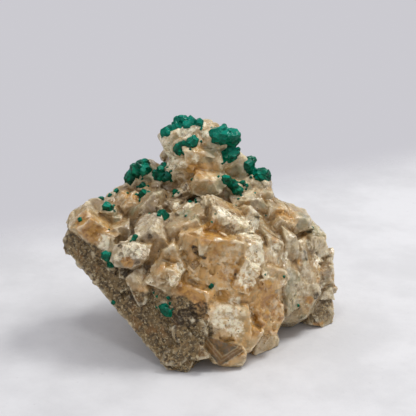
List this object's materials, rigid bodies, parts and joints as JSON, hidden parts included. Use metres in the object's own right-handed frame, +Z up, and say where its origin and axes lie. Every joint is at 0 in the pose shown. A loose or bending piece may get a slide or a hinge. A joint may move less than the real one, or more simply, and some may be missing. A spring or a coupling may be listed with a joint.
{
  "type": "dioptase specimen",
  "caption": "Lump of blocky calcite vein rock with clusters of clear emerald green dioptase crystals on its crown, shoulders and ledges; it stands on a flat broken base.",
  "frame": {"origin": "middle of the bounding box, on the level that the specimen rests on", "axes": "+Z up; +X to the right and +Y to the back for someone who faces its best side"},
  "size_m": [0.0802, 0.0562, 0.0623],
  "materials": {
    "calcite": "milky to honey calcite with pearly cleavage faces, rust stains and grey-brown host rock",
    "dioptase": "clear emerald green crystal with a glassy lustre"
  },
  "bodies": {
    "root": {"calcite_matrix": "calcite", "dioptase_back_high": "dioptase", "dioptase_back_left": "dioptase", "dioptase_back_low": "dioptase", "dioptase_centre": "dioptase", "dioptase_crevice": "dioptase", "dioptase_crown_back": "dioptase", "dioptase_crown_crust": "dioptase", "dioptase_crown_face": "dioptase", "dioptase_crown_foot": "dioptase", "dioptase_crown_right": "dioptase", "dioptase_hollow": "dioptase", "dioptase_ledge": "dioptase", "dioptase_ledge_left": "dioptase", "dioptase_ledge_rim": "dioptase", "dioptase_left_face": "dioptase", "dioptase_left_shoulder": "dioptase", "dioptase_low": "dioptase", "dioptase_right_shoulder": "dioptase", "dioptase_ring": "dioptase", "dioptase_saddle": "dioptase", "dioptase_saddle_small": "dioptase", "dioptase_valley_prism": "dioptase"}
  },
  "joints": []
}
